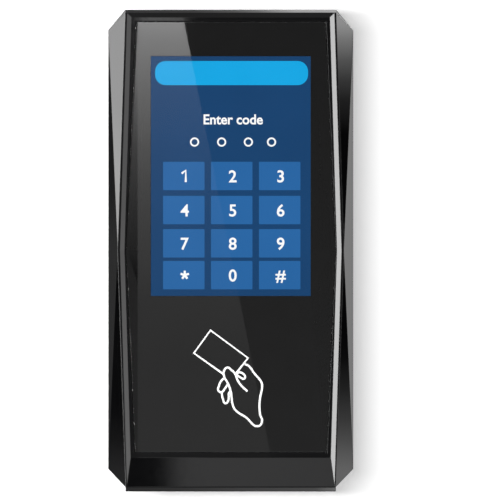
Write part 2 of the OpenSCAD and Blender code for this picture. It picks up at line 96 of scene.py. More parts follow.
# Card symbol printed under the glass, in millimetres: points placed after the photo's
SYMBOL_STROKE = 0.62
CARD_PATHS = (
    ((-2.3, -37.9), (-11.3, -31.5), (-6.2, -24.5), (5.3, -33.0), (1.7, -37.6)),
)
HAND_PATHS = (
    (
        (4.3, -34.9), (5.3, -35.3), (7.3, -37.8), (9.5, -40.7), (9.6, -42.0), (9.0, -45.1),
        (8.8, -47.8), (9.0, -50.3), (9.6, -52.4), (8.4, -53.9), (4.7, -51.2), (1.3, -48.8),
        (0.6, -47.3), (0.0, -43.3), (-0.7, -41.1), (-2.0, -38.7), (-2.1, -37.0), (-1.0, -35.9),
        (0.0, -36.5), (1.3, -37.8), (2.0, -39.6), (3.1, -41.3), (5.1, -43.2),
    ),
    (
        (1.6, -37.8), (2.7, -37.4), (3.9, -37.9), (4.4, -38.9), (3.9, -39.4), (3.2, -39.1),
        (1.8, -38.2),
    ),
    (
        (-2.2, -39.2), (-3.2, -40.4), (-3.6, -41.5), (-3.9, -42.6), (-3.5, -43.3), (-2.8, -43.5),
        (-1.9, -42.5), (-1.0, -41.2),
    ),
    (
        (-2.8, -43.5), (-2.4, -45.6), (-1.6, -46.9), (-0.8, -46.1), (-0.6, -44.9), (-0.6, -43.9),
        (-0.2, -43.2),
    ),
)

# Spring of the tamper switch, in millimetres. Its wire is a little slimmer than in the CAD, so
# that it stays inside the space the CAD spring holds
SPRING_WIRE_R, SPRING_NARROW_R, SPRING_TURNS, TURN_STEPS = 0.2, 0.75, 3, 24
WIRE_SLACK = 0.97

# Camera: its sensor in millimetres, then in metres how much it sees at the body's front, from
# how far, and how far right and up its middle is
SENSOR = 36
VIEW_WIDTH, VIEW_DISTANCE = 0.153, 1.6
VIEW_X, VIEW_Z = 0.0059, 0.0001
EYE = Vector((VIEW_X, BODY_FRONT - VIEW_DISTANCE, VIEW_Z))

# Nodes made of flat faces only, and how round their edges look, in millimetres
FLAT_NODES = ("front_frame", "cover_glass")
FRAME_ROUND, GLASS_ROUND, HOUSING_ROUND, SHEET_ROUND = 0.28, 0.12, 0.3, 0.1

# Stage, in metres: the wall's gap behind the reader, the floor's height and both half widths.
# Their glow is an emission strength
WALL_GAP, WALL_HALF, WALL_GLOW = 0.0002, 0.75, 0.47
FLOOR_Z, FLOOR_HALF, FLOOR_GLOW = -0.3, 3.0, 0.5

# Room that reflections see: greys from ahead of the reader to behind it, their gain from below
# it to above, both as (place from 0 to 1, grey), and how much brighter the gain makes them
ROOM_DEPTHS = (
    (0.0, 0.095), (0.035, 0.095), (0.12, 0.04), (0.6, 0.04), (0.72, 0.09), (0.96, 0.2), (0.99, 0.4),
)
ROOM_HEIGHTS = (
    (0.0, 0.7), (0.25, 0.7), (0.44, 0.15), (0.48, 0.15), (0.52, 0.103), (0.58, 0.103), (0.75, 0.5),
    (1.0, 0.6),
)
ROOM_GAIN = 10

# Chin below the glass: how far its sloping strip comes forward and down, in millimetres
CHIN_RUN, CHIN_DROP = 1.2, 8.9


# ---------------------------------------------------------------- node helpers

def add(tree, kind, **values):
    """A node with its properties and unlinked inputs set."""
    node = tree.nodes.new(kind)
    for name, value in values.items():
        if name in node.inputs:
            node.inputs[name].default_value = value
        else:
            setattr(node, name, value)
    return node


def new_material(name, **uniform):
    """A Principled material, with the values that are the same all over set on its sockets."""
    mat = bpy.data.materials.new(name)
    mat.use_nodes = True
    shader = mat.node_tree.nodes["Principled BSDF"]
    for socket, value in uniform.items():
        shader.inputs[socket.replace("_", " ")].default_value = value
    return mat, mat.node_tree, shader


def place(tree, scale=(1, 1, 1), turn=(0, 0, 0)):
    """Object coordinates in millimetres, stretched and turned."""
    where = add(tree, "ShaderNodeTexCoord")
    mapping = add(tree, "ShaderNodeMapping")
    mapping.inputs["Scale"].default_value = [s / MM for s in scale]
    mapping.inputs["Rotation"].default_value = turn
    tree.links.new(where.outputs["Object"], mapping.inputs["Vector"])
    return mapping.outputs["Vector"]


def noise(tree, vector, scale, detail=3.0):
    """Cloudy noise with about scale features per millimetre."""
    node = add(tree, "ShaderNodeTexNoise", Scale=scale, Detail=detail)
    tree.links.new(vector, node.inputs["Vector"])
    return node.outputs["Fac"]


def cells(tree, vector, scale, feature="F1", output="Distance"):
    node = add(tree, "ShaderNodeTexVoronoi", feature=feature)
    node.inputs["Scale"].default_value = scale
    tree.links.new(vector, node.inputs["Vector"])
    return node.outputs[output]


def stripes(tree, vector, scale, distortion=0.0, direction="X"):
    node = add(tree, "ShaderNodeTexWave", bands_direction=direction)
    node.inputs["Scale"].default_value = scale
    node.inputs["Distortion"].default_value = distortion
    tree.links.new(vector, node.inputs["Vector"])
    return node.outputs["Fac"]


def spread(tree, factor, low, high, start=0.3, end=0.7):
    """A factor's usual range turned into low to high."""
    node = add(tree, "ShaderNodeMapRange")
    node.inputs["From Min"].default_value = start
    node.inputs["From Max"].default_value = end
    node.inputs["To Min"].default_value = low
    node.inputs["To Max"].default_value = high
    tree.links.new(factor, node.inputs["Value"])
    return node.outputs["Result"]


def shade(tree, factor, stops):
    """A colour ramp of (position, (r, g, b)) stops."""
    node = add(tree, "ShaderNodeValToRGB")
    ramp = node.color_ramp
    while len(ramp.elements) < len(stops):
        ramp.elements.new(0.5)
    for element, (position, colour) in zip(ramp.elements, stops):
        element.position = position
        element.color = (*colour, 1)
    tree.links.new(factor, node.inputs["Fac"])
    return node.outputs["Color"]


def greys(levels):
    """Ramp stops from (position, grey) pairs."""
    return [(at, (level,) * 3) for at, level in levels]


def rounded_edges(tree, radius_mm):
    """Normals that turn softly over a solid's sharp edges."""
    return add(tree, "ShaderNodeBevel", samples=6, Radius=radius_mm * MM).outputs["Normal"]


def relief(tree, shader, height, depth_mm, round_mm=0):
    """Bump of a real depth, on soft edges where they are asked for."""
    node = add(tree, "ShaderNodeBump", Distance=depth_mm * MM)
    tree.links.new(height, node.inputs["Height"])
    if round_mm:
        tree.links.new(rounded_edges(tree, round_mm), node.inputs["Normal"])
    tree.links.new(node.outputs["Normal"], shader.inputs["Normal"])
    return node


def grained(name, dark, light, rough, grain, depth_mm, **uniform):
    """Most moulded or cast pieces: cloudy colour, uneven roughness and a fine surface grain."""
    mat, tree, shader = new_material(name, **uniform)
    where = place(tree)
    clouds = noise(tree, where, 0.15, 4.0)
    fine = noise(tree, where, grain, 2.0)
    tree.links.new(shade(tree, clouds, [(0.35, dark), (0.65, light)]), shader.inputs["Base Color"])
    tree.links.new(spread(tree, fine, *rough), shader.inputs["Roughness"])
    relief(tree, shader, fine, depth_mm)
    return mat


# ---------------------------------------------------------------- materials

def frame_gloss():
    mat, tree, shader = new_material("frame_gloss", Specular_IOR_Level=0.5)
    where = place(tree)
    clouds = noise(tree, where, 0.05, 3.0)
    haze = noise(tree, where, 0.6, 5.0)
    peel = noise(tree, where, 0.25, 1.0)
    black = [(0.3, (0.0022, 0.0022, 0.0025)), (0.7, (0.004, 0.004, 0.0045))]
    tree.links.new(shade(tree, clouds, black), shader.inputs["Base Color"])
    tree.links.new(spread(tree, haze, 0.025, 0.05), shader.inputs["Roughness"])
    relief(tree, shader, peel, 0.0012, FRAME_ROUND)
    return mat


def housing_plastic():
    mat, tree, shader = new_material("housing_plastic", Specular_IOR_Level=0.4)
    where = place(tree)
    clouds = noise(tree, where, 0.04, 4.0)
    spark = cells(tree, where, 2.6)
    black = [(0.3, (0.018, 0.018, 0.019)), (0.7, (0.030, 0.030, 0.032))]
    tree.links.new(shade(tree, clouds, black), shader.inputs["Base Color"])
    tree.links.new(spread(tree, clouds, 0.46, 0.62), shader.inputs["Roughness"])
    relief(tree, shader, spark, 0.035, HOUSING_ROUND)
    return mat


def zinc_steel():
    mat, tree, shader = new_material("zinc_steel", Metallic=1.0)
    where = place(tree)
    spangle = cells(tree, where, 0.4, output="Color")
    grey = add(tree, "ShaderNodeRGBToBW")
    tree.links.new(spangle, grey.inputs["Color"])
    scratches = noise(tree, place(tree, (3.0, 3.0, 0.08)), 1.0, 2.0)
    zinc = [(0.1, (0.62, 0.64, 0.66)), (0.9, (0.69, 0.71, 0.73))]
    tree.links.new(shade(tree, grey.outputs["Val"], zinc), shader.inputs["Base Color"])
    tree.links.new(spread(tree, grey.outputs["Val"], 0.32, 0.42, 0.1, 0.9), shader.inputs["Roughness"])
    relief(tree, shader, scratches, 0.006, SHEET_ROUND)
    return mat


def seal_rubber():
    return grained("seal_rubber", (0.02, 0.02, 0.022), (0.035, 0.035, 0.037), (0.7, 0.9), 3.0, 0.03)


def screen_film(tree):
    """How much of the glass's reflection is left: little over the display, all of it elsewhere."""
    parts = add(tree, "ShaderNodeSeparateXYZ")
    tree.links.new(place(tree), parts.inputs["Vector"])
    edges = []
    for axis, middle, span in (("X", 0, SCREEN_W), ("Z", SCREEN_Z, SCREEN_H)):
        away = add(tree, "ShaderNodeMath", operation="SUBTRACT")
        away.inputs[1].default_value = middle
        tree.links.new(parts.outputs[axis], away.inputs[0])
        size = add(tree, "ShaderNodeMath", operation="ABSOLUTE")
        tree.links.new(away.outputs["Value"], size.inputs[0])
        edges.append(spread(tree, size.outputs["Value"], 0, 1, span / 2, span / 2 + 0.1))
    outside = add(tree, "ShaderNodeMath", operation="MAXIMUM")
    for socket, edge in zip(outside.inputs, edges):
        tree.links.new(edge, socket)
    return spread(tree, outside.outputs["Value"], FILM_REFLECTS, 1, 0, 1)


def cover_glass():
    """Clear pane that reflects more than bare glass, and little over the display. What lies behind
    it shows without bending."""
    mat = bpy.data.materials.new("cover_glass")
    mat.use_nodes = True
    tree = mat.node_tree
    tree.nodes.remove(tree.nodes["Principled BSDF"])
    smudge = noise(tree, place(tree), 0.08, 5.0)
    clear = add(tree, "ShaderNodeBsdfTransparent")
    mirror = add(tree, "ShaderNodeBsdfAnisotropic")
    fresnel = add(tree, "ShaderNodeFresnel", IOR=GLASS_IOR)
    side = add(tree, "ShaderNodeNewGeometry")
    front = add(tree, "ShaderNodeMath", operation="SUBTRACT")
    front.inputs[0].default_value = 1.0
    bare = add(tree, "ShaderNodeMath", operation="MULTIPLY")
    share = add(tree, "ShaderNodeMath", operation="MULTIPLY")
    mix = add(tree, "ShaderNodeMixShader")
    tree.links.new(side.outputs["Backfacing"], front.inputs[1])
    soft = rounded_edges(tree, GLASS_ROUND)
    tree.links.new(soft, mirror.inputs["Normal"])
    tree.links.new(soft, fresnel.inputs["Normal"])
    tree.links.new(fresnel.outputs["Fac"], bare.inputs[0])
    tree.links.new(front.outputs["Value"], bare.inputs[1])
    tree.links.new(bare.outputs["Value"], share.inputs[0])
    tree.links.new(screen_film(tree), share.inputs[1])
    tree.links.new(spread(tree, smudge, 0.006, 0.014), mirror.inputs["Roughness"])
    tint = shade(tree, smudge, [(0.2, (0.985, 0.99, 0.99)), (0.8, (1, 1, 1))])
    tree.links.new(tint, clear.inputs["Color"])
    tree.links.new(share.outputs["Value"], mix.inputs["Fac"])
    tree.links.new(clear.outputs["BSDF"], mix.inputs[1])
    tree.links.new(mirror.outputs["BSDF"], mix.inputs[2])
    tree.links.new(mix.outputs["Shader"], tree.nodes["Material Output"].inputs["Surface"])
    return mat


def mask_ink():
    black, grey = (0.0012, 0.0012, 0.0013), (0.0022, 0.0022, 0.0024)
    return grained("mask_ink", black, grey, (0.8, 0.95), 6.0, 0.002, Specular_IOR_Level=0.0)


def foam():
    mat, tree, shader = new_material("foam", Specular_IOR_Level=0.2)
    where = place(tree)
    pores = cells(tree, where, 1.6)
    dark = [(0.0, (0.05, 0.05, 0.052)), (0.5, (0.13, 0.13, 0.135))]
    tree.links.new(shade(tree, pores, dark), shader.inputs["Base Color"])
    tree.links.new(spread(tree, pores, 0.95, 0.8), shader.inputs["Roughness"])
    relief(tree, shader, pores, 0.12)
    return mat


def touch_film():
    """Clear sensor film with a hardly visible grid of transparent electrodes."""
    mat, tree, shader = new_material("touch_film", Alpha=0.04, Roughness=0.3)
    grid = stripes(tree, place(tree), 1.26, direction="Z")
    tints = [(0.4, (0.01, 0.012, 0.014)), (0.6, (0.03, 0.034, 0.036))]
    tree.links.new(shade(tree, grid, tints), shader.inputs["Base Color"])
    return mat


def flex_film():
    mat, tree, shader = new_material("flex_film", Specular_IOR_Level=0.5)
    tracks = stripes(tree, place(tree), 1.6, direction="X")
    amber = [(0.42, (0.30, 0.12, 0.02)), (0.58, (0.52, 0.24, 0.05))]
    tree.links.new(shade(tree, tracks, amber), shader.inputs["Base Color"])
    tree.links.new(spread(tree, tracks, 0.4, 0.25), shader.inputs["Roughness"])
    relief(tree, shader, tracks, 0.02)
    return mat


def display_cell():
    mat, tree, shader = new_material("display_cell", Specular_IOR_Level=0.5)
    pixels = stripes(tree, place(tree), 2.05, direction="X")
    dark = [(0.4, (0.004, 0.008, 0.016)), (0.6, (0.012, 0.018, 0.03))]
    tree.links.new(shade(tree, pixels, dark), shader.inputs["Base Color"])
    tree.links.new(spread(tree, pixels, 0.2, 0.3), shader.inputs["Roughness"])
    return mat


def diffuser():
    mat, tree, shader = new_material("diffuser")
    dots = cells(tree, place(tree), 1.2)
    whites = [(0.1, (0.72, 0.74, 0.76)), (0.4, (0.88, 0.89, 0.90))]
    tree.links.new(shade(tree, dots, whites), shader.inputs["Base Color"])
    tree.links.new(spread(tree, dots, 0.4, 0.6), shader.inputs["Roughness"])
    relief(tree, shader, dots, 0.02)
    return mat


def brushed(name, dark, light, rough, along=(0.06, 2.5, 2.5)):
    """Metal with fine parallel brushing along X unless told otherwise."""
    mat, tree, shader = new_material(name, Metallic=1.0)
    hair = noise(tree, place(tree, along), 1.5, 4.0)
    clouds = noise(tree, place(tree), 0.12, 3.0)
    tree.links.new(shade(tree, clouds, [(0.3, dark), (0.7, light)]), shader.inputs["Base Color"])
    tree.links.new(spread(tree, hair, *rough), shader.inputs["Roughness"])
    relief(tree, shader, hair, 0.008)
    return mat


def tray_steel():
    return brushed("tray_steel", (0.46, 0.47, 0.48), (0.60, 0.61, 0.62), (0.3, 0.45))


def screw_steel():
    return brushed("screw_steel", (0.50, 0.51, 0.50), (0.68, 0.69, 0.68), (0.22, 0.4), (2, 2, 2))


def copper():
    return brushed("copper", (0.70, 0.30, 0.17), (0.85, 0.42, 0.26), (0.25, 0.4))


def gold():
    return brushed("gold", (0.75, 0.52, 0.20), (0.90, 0.68, 0.30), (0.18, 0.3), (2, 2, 2))


def brass():
    return brushed("brass", (0.55, 0.40, 0.16), (0.72, 0.55, 0.25), (0.25, 0.42), (2, 2, 2))


def aluminium_can():
    return brushed("aluminium_can", (0.62, 0.63, 0.64), (0.76, 0.77, 0.78), (0.25, 0.4), (2, 2, 0.2))


def board_green():
    """Green solder mask over tracks, with a speckle of plated holes."""
    mat, tree, shader = new_material("board_green", Specular_IOR_Level=0.5)
    where = place(tree)
    tracks = add(tree, "ShaderNodeTexBrick", offset=0.37, squash=0.6)
    tracks.inputs["Scale"].default_value = 0.55
    tracks.inputs["Mortar Size"].default_value = 0.09
    flat = place(tree, turn=(math.pi / 2, 0, 0))
    tree.links.new(flat, tracks.inputs["Vector"])
    holes = cells(tree, where, 0.45)
    mask = [(0.0, (0.010, 0.060, 0.022)), (1.0, (0.022, 0.115, 0.042))]
    green = shade(tree, tracks.outputs["Fac"], mask)
    plated = add(tree, "ShaderNodeMix", data_type="RGBA")
    tree.links.new(spread(tree, holes, 1.0, 0.0, 0.10, 0.13), plated.inputs["Factor"])
    tree.links.new(green, plated.inputs["A"])
    plated.inputs["B"].default_value = (0.55, 0.50, 0.34, 1)
    tree.links.new(plated.outputs["Result"], shader.inputs["Base Color"])
    tree.links.new(spread(tree, tracks.outputs["Fac"], 0.28, 0.38, 0, 1), shader.inputs["Roughness"])
    relief(tree, shader, tracks.outputs["Fac"], 0.03)
    return mat


def ferrite():
    return grained("ferrite", (0.025, 0.024, 0.023), (0.05, 0.048, 0.046), (0.5, 0.7), 2.5, 0.02)


def connector_plastic():
    return grained("connector_plastic", (0.62, 0.57, 0.44), (0.74, 0.70, 0.58), (0.35, 0.5), 2.0, 0.01)


def chip_epoxy():
    return grained("chip_epoxy", (0.012, 0.012, 0.013), (0.028, 0.028, 0.03), (0.5, 0.7), 5.0, 0.02)


def passive_ceramic():
    return grained("passive_ceramic", (0.32, 0.22, 0.13), (0.55, 0.43, 0.30), (0.3, 0.5), 3.0, 0.01)


def relay_case():
    return grained("relay_case", (0.02, 0.06, 0.20), (0.03, 0.09, 0.28), (0.3, 0.45), 2.5, 0.015)


def terminal_green():
    return grained("terminal_green", (0.03, 0.26, 0.09), (0.05, 0.36, 0.13), (0.35, 0.5), 2.0, 0.015)


def ivory_plastic():
    return grained("ivory_plastic", (0.66, 0.62, 0.50), (0.78, 0.75, 0.64), (0.35, 0.5), 2.0, 0.01)


def lit(name, low, high, strength=1.0):
    """A lit colour on the display, with the faint grid of its pixels."""
    mat, tree, shader = new_material(name, Specular_IOR_Level=0.0, Roughness=0.8)
    where = place(tree)
    pixels = stripes(tree, where, 2.05, direction="X")
    clouds = noise(tree, where, 0.05, 1.0)
    blend = add(tree, "ShaderNodeMath", operation="MULTIPLY_ADD")
    blend.inputs[1].default_value = 0.25
    tree.links.new(pixels, blend.inputs[0])
    tree.links.new(clouds, blend.inputs[2])
    colour = shade(tree, blend.outputs["Value"], [(0.3, low), (0.95, high)])
    tree.links.new(colour, shader.inputs["Emission Color"])
    shader.inputs["Emission Strength"].default_value = strength
    shader.inputs["Base Color"].default_value = (0.002, 0.002, 0.002, 1)
    return mat


def symbol_ink_painted_glow():
    """White ink printed on the back of the glass, with a painted glow: it gives off light of its own
    though it is no lamp, so it reads bright in any light.
    """
    mat, tree, shader = new_material("symbol_ink_painted_glow", Specular_IOR_Level=0.0)
    speck = noise(tree, place(tree), 4.0, 3.0)
    whites = [(0.3, (0.80, 0.80, 0.80)), (0.7, (0.90, 0.90, 0.90))]
    tree.links.new(shade(tree, speck, whites), shader.inputs["Base Color"])
    # Painted glow: the ink's white is also given off as light, at the strength set below
    tree.links.new(shade(tree, speck, whites), shader.inputs["Emission Color"])
    tree.links.new(spread(tree, speck, 0.5, 0.7), shader.inputs["Roughness"])
    shader.inputs["Emission Strength"].default_value = 0.75
    return mat


# One finish for each material slot, with the slot's own name
FINISHES = (
    zinc_steel, housing_plastic, frame_gloss, seal_rubber, cover_glass, mask_ink, foam,
    touch_film, flex_film, display_cell, diffuser, tray_steel, board_green, copper, ferrite,
    gold, screw_steel, connector_plastic, chip_epoxy, passive_ceramic, relay_case,
    terminal_green, ivory_plastic, brass, aluminium_can,
)


def finish_cad_nodes(made):
    """Each CAD node in the finish of its material slot."""
    for part in frame["record"]["subparts"]:
        obj = frame["nodes"][part["node"]]
        obj.data.materials.clear()
        obj.data.materials.append(made[part["material_slot"]])


def shade_flat(node):
    """Every face of a CAD node shaded by its own plane."""
    mesh = frame["nodes"][node].data
    custom = mesh.attributes.get("custom_normal")
    if custom:
        mesh.attributes.remove(custom)
    for face in mesh.polygons:
        face.use_smooth = False


# ---------------------------------------------------------------- pieces

def settle(obj, material):
    """Links a piece, gives it its material and lets it ride on the reader."""
    if obj.name not in SCENE.collection.objects:
        SCENE.collection.objects.link(obj)
    obj.data.materials.clear()
    obj.data.materials.append(material)
    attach(obj, "reader")
    return obj


def rounded_outline(x, z, w, h, r, steps=6):
    """Points round a rectangle with round corners, counter-clockwise in X and Z."""
    points = []
    for sx, sz, start in ((1, 1, 0), (-1, 1, 90), (-1, -1, 180), (1, -1, 270)):
        for k in range(steps + 1):
            a = math.radians(start + 90 * k / steps)
            px = x + sx * (w / 2 - r) + r * math.cos(a)
            pz = z + sz * (h / 2 - r) + r * math.sin(a)
            points.append((px, pz))
    return points


def film(name, outlines, front_y):
    """Thin closed plates, one for each outline in millimetres."""
    verts, faces = [], []
    for outline in outlines:
        base, n = len(verts), len(outline)
        for y in (front_y, front_y + FILM * MM):
            verts += [(px * MM, y, pz * MM) for px, pz in outline]
        faces.append([base + k for k in range(n)])
        faces.append([base + n + k for k in reversed(range(n))])
        for k in range(n):
            j = (k + 1) % n
            faces.append([base + j, base + k, base + n + k, base + n + j])
    mesh = bpy.data.meshes.new(name)
    mesh.from_pydata(verts, [], faces)
    mesh.validate()
    return bpy.data.objects.new(name, mesh)


def tube_curve(name, radius, roundness):
    """An empty curve that will be a capped tube, with its radius in metres."""
    curve = bpy.data.curves.new(name, "CURVE")
    curve.dimensions = "3D"
    curve.bevel_depth = radius
    curve.bevel_resolution = roundness
    curve.use_fill_caps = True
    return curve


def strokes(name, paths, width, front_y, smooth=True, closed=False):
    """Flat round-edged lines of one width along paths in millimetres, as a closed mesh."""
    curve = tube_curve(name, width / 2 * MM, 2)
    curve.resolution_u = 6
    for path in paths:
        spline = curve.splines.new("BEZIER" if smooth else "POLY")
        points = spline.bezier_points if smooth else spline.points
        points.add(len(path) - 1)
        for point, (px, pz) in zip(points, path):
            if smooth:
                point.co = (px * MM, 0, pz * MM)
                point.handle_left_type = point.handle_right_type = "AUTO"
            else:
                point.co = (px * MM, 0, pz * MM, 1)
        spline.use_cyclic_u = closed
    return flattened(name, curve, Matrix.Identity(4), front_y)


def curve_mesh(name, curve):
    """The mesh of a curve or of lettering."""
    source = bpy.data.objects.new(name + "_curve", curve)
    SCENE.collection.objects.link(source)
    graph = bpy.context.evaluated_depsgraph_get()
    mesh = bpy.data.meshes.new_from_object(source.evaluated_get(graph))
    bpy.data.objects.remove(source)
    mesh.name = name
    return mesh


def flattened(name, curve, turn, front_y):
    """A curve or lettering as a mesh that is one film thick behind front_y."""
    mesh = curve_mesh(name, curve)
    mesh.transform(turn)
    ys = [v.co.y for v in mesh.vertices]
    low, deep = min(ys), max(max(ys) - min(ys), 1e-9)
    for v in mesh.vertices:
        v.co.y = front_y + (v.co.y - low) / deep * FILM * MM
    return bpy.data.objects.new(name, mesh)


def lettering(name, text, height, weight, front_y):
    """Plain built-in lettering that stands on Z = 0 with its middle at X = 0."""
    curve = bpy.data.curves.new(name, "FONT")
    curve.body = text
    curve.offset = weight * MM
    curve.extrude = FILM * MM
    curve.size = height * MM / CAP_SHARE
    curve.resolution_u = 4
    obj = flattened(name, curve, Matrix.Rotation(math.pi / 2, 4, "X"), front_y)
    xs = [v.co.x for v in obj.data.vertices]
    obj.data.transform(Matrix.Translation((-(min(xs) + max(xs)) / 2, 0, 0)))
    return obj


def joined(name, parts):
    """Several meshes as one object."""
    verts, faces = [], []
    for obj in parts:
        base = len(verts)
        verts += [tuple(v.co) for v in obj.data.vertices]
        faces += [[base + k for k in face.vertices] for face in obj.data.polygons]
        bpy.data.objects.remove(obj)
    mesh = bpy.data.meshes.new(name)
    mesh.from_pydata(verts, [], faces)
    return bpy.data.objects.new(name, mesh)


def star_paths(x, z):
    """The arms of an asterisk, one straight up."""
    ends = [math.radians(90 + 360 * k / STAR_ARMS) for k in range(STAR_ARMS)]
    return [((x, z), (x + STAR_R * math.cos(a), z + STAR_R * math.sin(a))) for a in ends]


def one_path(x, z):
    """A figure one with a flag."""
    top, stem = z + DIGIT_H / 2 - MARK_STROKE / 4, x + ONE_STEM
    return [((stem - ONE_FLAG_W, top - ONE_FLAG_H), (stem, top), (stem, z - DIGIT_H / 2))]


def circle_path(x, z, radius, steps=12):
    """Points round a circle, without the first one again at the end."""
    turn = [2 * math.pi * k / steps for k in range(steps)]
    return [(x + radius * math.cos(a), z + radius * math.sin(a)) for a in turn]


def key_marks(front_y):
    """The characters of all twelve keys as one piece."""
    parts = []
    for row, marks in zip(KEY_ROWS, KEY_MARKS):
        for column, mark in zip(KEY_COLUMNS, marks):
            x = column + DIGIT_SHIFT
            if mark in "*1":
                paths = star_paths(x, row) if mark == "*" else one_path(x, row)
                parts.append(strokes("mark", paths, MARK_STROKE, front_y, smooth=False))
                continue
            digit = lettering("digit", mark, DIGIT_H, DIGIT_WEIGHT, front_y)
            digit.data.transform(Matrix.Translation((x * MM, 0, (row - DIGIT_H / 2) * MM)))
            parts.append(digit)
    return joined("key_marks", parts)


def screen_picture():
    """Background, keys, marks, prompt, code rings and banner, in thin layers on the cell."""
    step = (FILM + FILM_GAP) * MM
    cell = CELL_FRONT - FILM_GAP * MM
    layers = [cell - FILM * MM - k * step for k in range(3)]
    whole = rounded_outline(0, SCREEN_Z, SCREEN_W, SCREEN_H, SCREEN_R, 1)
    squares = [rounded_outline(x, z, KEY_W, KEY_H, KEY_R) for z in KEY_ROWS for x in KEY_COLUMNS]
    bar = rounded_outline(BANNER_X, BANNER_Z, BANNER_W, BANNER_H, BANNER_R)
    circles = [circle_path(x, RING_Z, RING_R) for x in RING_XS]
    plain = film("screen_background", [whole], layers[0])
    keys = film("screen_keys", squares, layers[1])
    banner = film("screen_banner", [bar], layers[1])
    rings = strokes("code_rings", circles, RING_STROKE, layers[2], closed=True)
    prompt = lettering("prompt_text", PROMPT, PROMPT_H, PROMPT_WEIGHT, layers[2])
    prompt.data.transform(Matrix.Diagonal((PROMPT_SQUEEZE, 1, 1, 1)))
    prompt.data.transform(Matrix.Translation((PROMPT_X * MM, 0, PROMPT_Z * MM)))
    white = lit("screen_white", (0.96, 0.97, 0.97), (1, 1, 1), 1.12)
    navy = lit("screen_navy", (0.0070, 0.055, 0.163), (0.0082, 0.061, 0.181))
    blue = lit("screen_blue", (0.020, 0.138, 0.392), (0.024, 0.150, 0.420))
    cyan = lit("screen_cyan", (0.004, 0.415, 0.84), (0.008, 0.445, 0.90))
    for piece, colour in ((plain, navy), (keys, blue), (banner, cyan)):
        settle(piece, colour)
    for piece in (rings, prompt, key_marks(layers[2])):
        settle(piece, white)


def card_symbol():
    """A hand that holds a card to the reader, printed on the back of the glass in ink with a painted
    glow.
    """
    front_y = GLASS_HIGH.y - 1.5 * FILM * MM
    card = strokes("card", CARD_PATHS, SYMBOL_STROKE, front_y, smooth=False)
    hand = strokes("hand", HAND_PATHS, SYMBOL_STROKE, front_y)
    settle(joined("card_symbol", [card, hand]), symbol_ink_painted_glow())


def spring_coil(material):
    """The tamper switch's cone spring, as one fixed coil."""
    low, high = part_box("tamper_spring")
    middle, length = (low + high) / 2, high.y - low.y
    wire, narrow = SPRING_WIRE_R * MM, SPRING_NARROW_R * MM
    wide = (high.x - low.x) / 2 - wire
    curve = tube_curve("spring_coil", wire * WIRE_SLACK, 3)
    path = curve.splines.new("POLY")
    steps = TURN_STEPS * SPRING_TURNS
    path.points.add(steps)
    for k, point in enumerate(path.points):
        share, turn = k / steps, 2 * math.pi * k / TURN_STEPS
        r = wide + (narrow - wide) * share
        y = high.y - wire - (length - 2 * wire) * share
        point.co = (middle.x + r * math.cos(turn), y, middle.z + r * math.sin(turn), 1)
    coil = bpy.data.objects.new("spring_coil", curve_mesh("spring_coil", curve))
    settle(coil, material)
    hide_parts("tamper_spring")
    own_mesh(coil)


# ---------------------------------------------------------------- stage

def quad(name, corners, material):
    """A flat stage piece between its corners."""
    mesh = bpy.data.meshes.new(name)
    mesh.from_pydata([tuple(c) for c in corners], [], [list(range(len(corners)))])
    mesh.materials.append(material)
    obj = bpy.data.objects.new(name, mesh)
    SCENE.collection.objects.link(obj)
    return obj


def hide_from(obj, *kinds):
    """Keeps an object out of some kinds of rays."""
    for kind in kinds:
        setattr(obj, "visible_" + kind, False)


def card_light(name, axis, stops):
    """Light whose radiance runs along one axis through (millimetres, radiance) stops."""
    mat = bpy.data.materials.new(name)
    mat.use_nodes = True
    tree = mat.node_tree
    tree.nodes.remove(tree.nodes["Principled BSDF"])
    where = add(tree, "ShaderNodeTexCoord")
    parts = add(tree, "ShaderNodeSeparateXYZ")
    tree.links.new(where.outputs["Object"], parts.inputs["Vector"])
    first, last = stops[0][0], stops[-1][0]
    peak = max(level for _, level in stops)
    along = spread(tree, parts.outputs[axis], 0, 1, first * MM, last * MM)
    shares = [((at - first) / (last - first), level / peak) for at, level in stops]
    emit = add(tree, "ShaderNodeEmission")
    emit.inputs["Strength"].default_value = peak
    tree.links.new(shade(tree, along, greys(shares)), emit.inputs["Color"])
    tree.links.new(emit.outputs["Emission"], tree.nodes["Material Output"].inputs["Surface"])
    return mat


def light_card(name, corners, axis, stops):
    """A soft light that only gloss sees: it stands for a studio's light strip."""
    card = quad(name, corners, card_light(name, axis, stops))
    hide_from(card, "camera", "diffuse", "transmission", "volume_scatter", "shadow")
    return card


def side_card(name, centre, half_width, stops):
    """An upright card that faces the body's middle, given by its middle in X and Y (mm)."""
    low, high = stops[0][0], stops[-1][0]
    away = Vector((centre[0], centre[1], 0)).normalized()
    across = Vector((-away.y, away.x, 0)) * half_width
    middle = Vector((centre[0], centre[1], 0))
    corners = [middle - across, middle + across, middle + across, middle - across]
    points = [Vector((c.x, c.y, z)) * MM for c, z in zip(corners, (low, low, high, high))]
    return light_card(name, points, "Z", stops)


def mirrored(x, z, deep, tilt=0.0):
    """Where the camera's ray to a front point at (x, z) mm ends after it is reflected."""
    y = GLASS_LOW.y - deep
    share = deep / (GLASS_LOW.y - EYE.y)
    px, pz = x * MM, z * MM
    return Vector((px + (px - EYE.x) * share, y, pz + (pz - EYE.z) * share + tilt * deep))


def card_in_front(name, corners, deep, tilt, axis, stops):
    """A card where the gloss at the given front points (mm) reflects the camera's rays.
    Its stops are given at front points too."""
    points = [mirrored(x, z, deep, tilt) for x, z in corners]
    if axis == "Z":
        places = [mirrored(0, at, deep, tilt).z / MM for at, _ in stops]
    else:
        places = [mirrored(at, 0, deep, tilt).x / MM for at, _ in stops]
    return light_card(name, points, axis, [(p, level) for p, (_, level) in zip(places, stops)])


